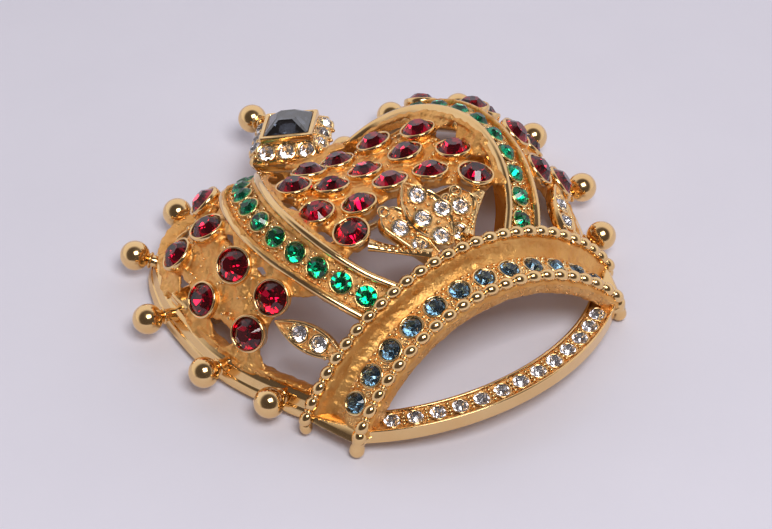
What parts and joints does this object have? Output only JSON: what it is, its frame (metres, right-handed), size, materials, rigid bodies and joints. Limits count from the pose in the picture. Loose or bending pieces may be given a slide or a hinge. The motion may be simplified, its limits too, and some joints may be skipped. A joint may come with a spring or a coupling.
{
  "type": "crown brooch",
  "caption": "Half-round openwork crown brooch, gold plated and set with foiled glass stones, with a hinged pin and a turning lock across its hollow back.",
  "frame": {"origin": "middle of the outline on the surface that the brooch lies on, back down", "axes": "+X across the crown to its right, +Y from the circlet towards the orb, +Z out through the front"},
  "size_m": [0.0646, 0.0634, 0.0206],
  "materials": {
    "plated_casting": "polished gold plate, matt and textured in the recesses",
    "plated_findings": "smooth gold plate",
    "ruby_glass": "faceted, foil backed",
    "emerald_glass": "faceted, foil backed",
    "denim_blue_glass": "faceted, foil backed",
    "clear_glass": "faceted, foil backed",
    "grey_glass": "step cut, mirror dark"
  },
  "bodies": {
    "crown": {"right_rim": "plated_casting", "left_rim": "plated_casting", "right_edge_balls": "plated_casting", "left_edge_balls": "plated_casting", "finial_ball": "plated_casting", "right_arch": "plated_casting", "left_arch": "plated_casting", "right_arch_stones": "emerald_glass", "left_arch_stones": "emerald_glass", "circlet": "plated_casting", "circlet_stones": "denim_blue_glass", "upper_beads": "plated_casting", "lower_beads": "plated_casting", "feet": "plated_casting", "crescent": "plated_casting", "crescent_stones": "clear_glass", "right_lobe": "plated_casting", "left_lobe": "plated_casting", "right_lobe_stones": "ruby_glass", "left_lobe_stones": "ruby_glass", "centre_panel": "plated_casting", "centre_panel_stones": "ruby_glass", "orb_mount": "plated_casting", "orb_stone": "grey_glass", "orb_small_stones": "clear_glass", "fleuron": "plated_casting", "fleuron_stones": "clear_glass", "right_leaf": "plated_casting", "left_leaf": "plated_casting", "leaf_stones": "clear_glass", "hinge_bracket": "plated_findings", "hinge_rivet": "plated_findings", "catch_barrel": "plated_findings"},
    "pin": {"pin_stem": "plated_findings"},
    "lock": {"catch_lock": "plated_findings"}
  },
  "joints": [
    {"name": "pin_hinge", "type": "hinge", "parent": "crown", "child": "pin", "pos_m": [0.02, 0.00588, 0.00188], "axis": [0, -1, 0], "range_deg": [0, 95]},
    {"name": "lock_turn", "type": "hinge", "parent": "crown", "child": "lock", "pos_m": [-0.021, 0.00588, 0.00188], "axis": [1, 0, 0], "range_deg": [0, 100]}
  ]
}
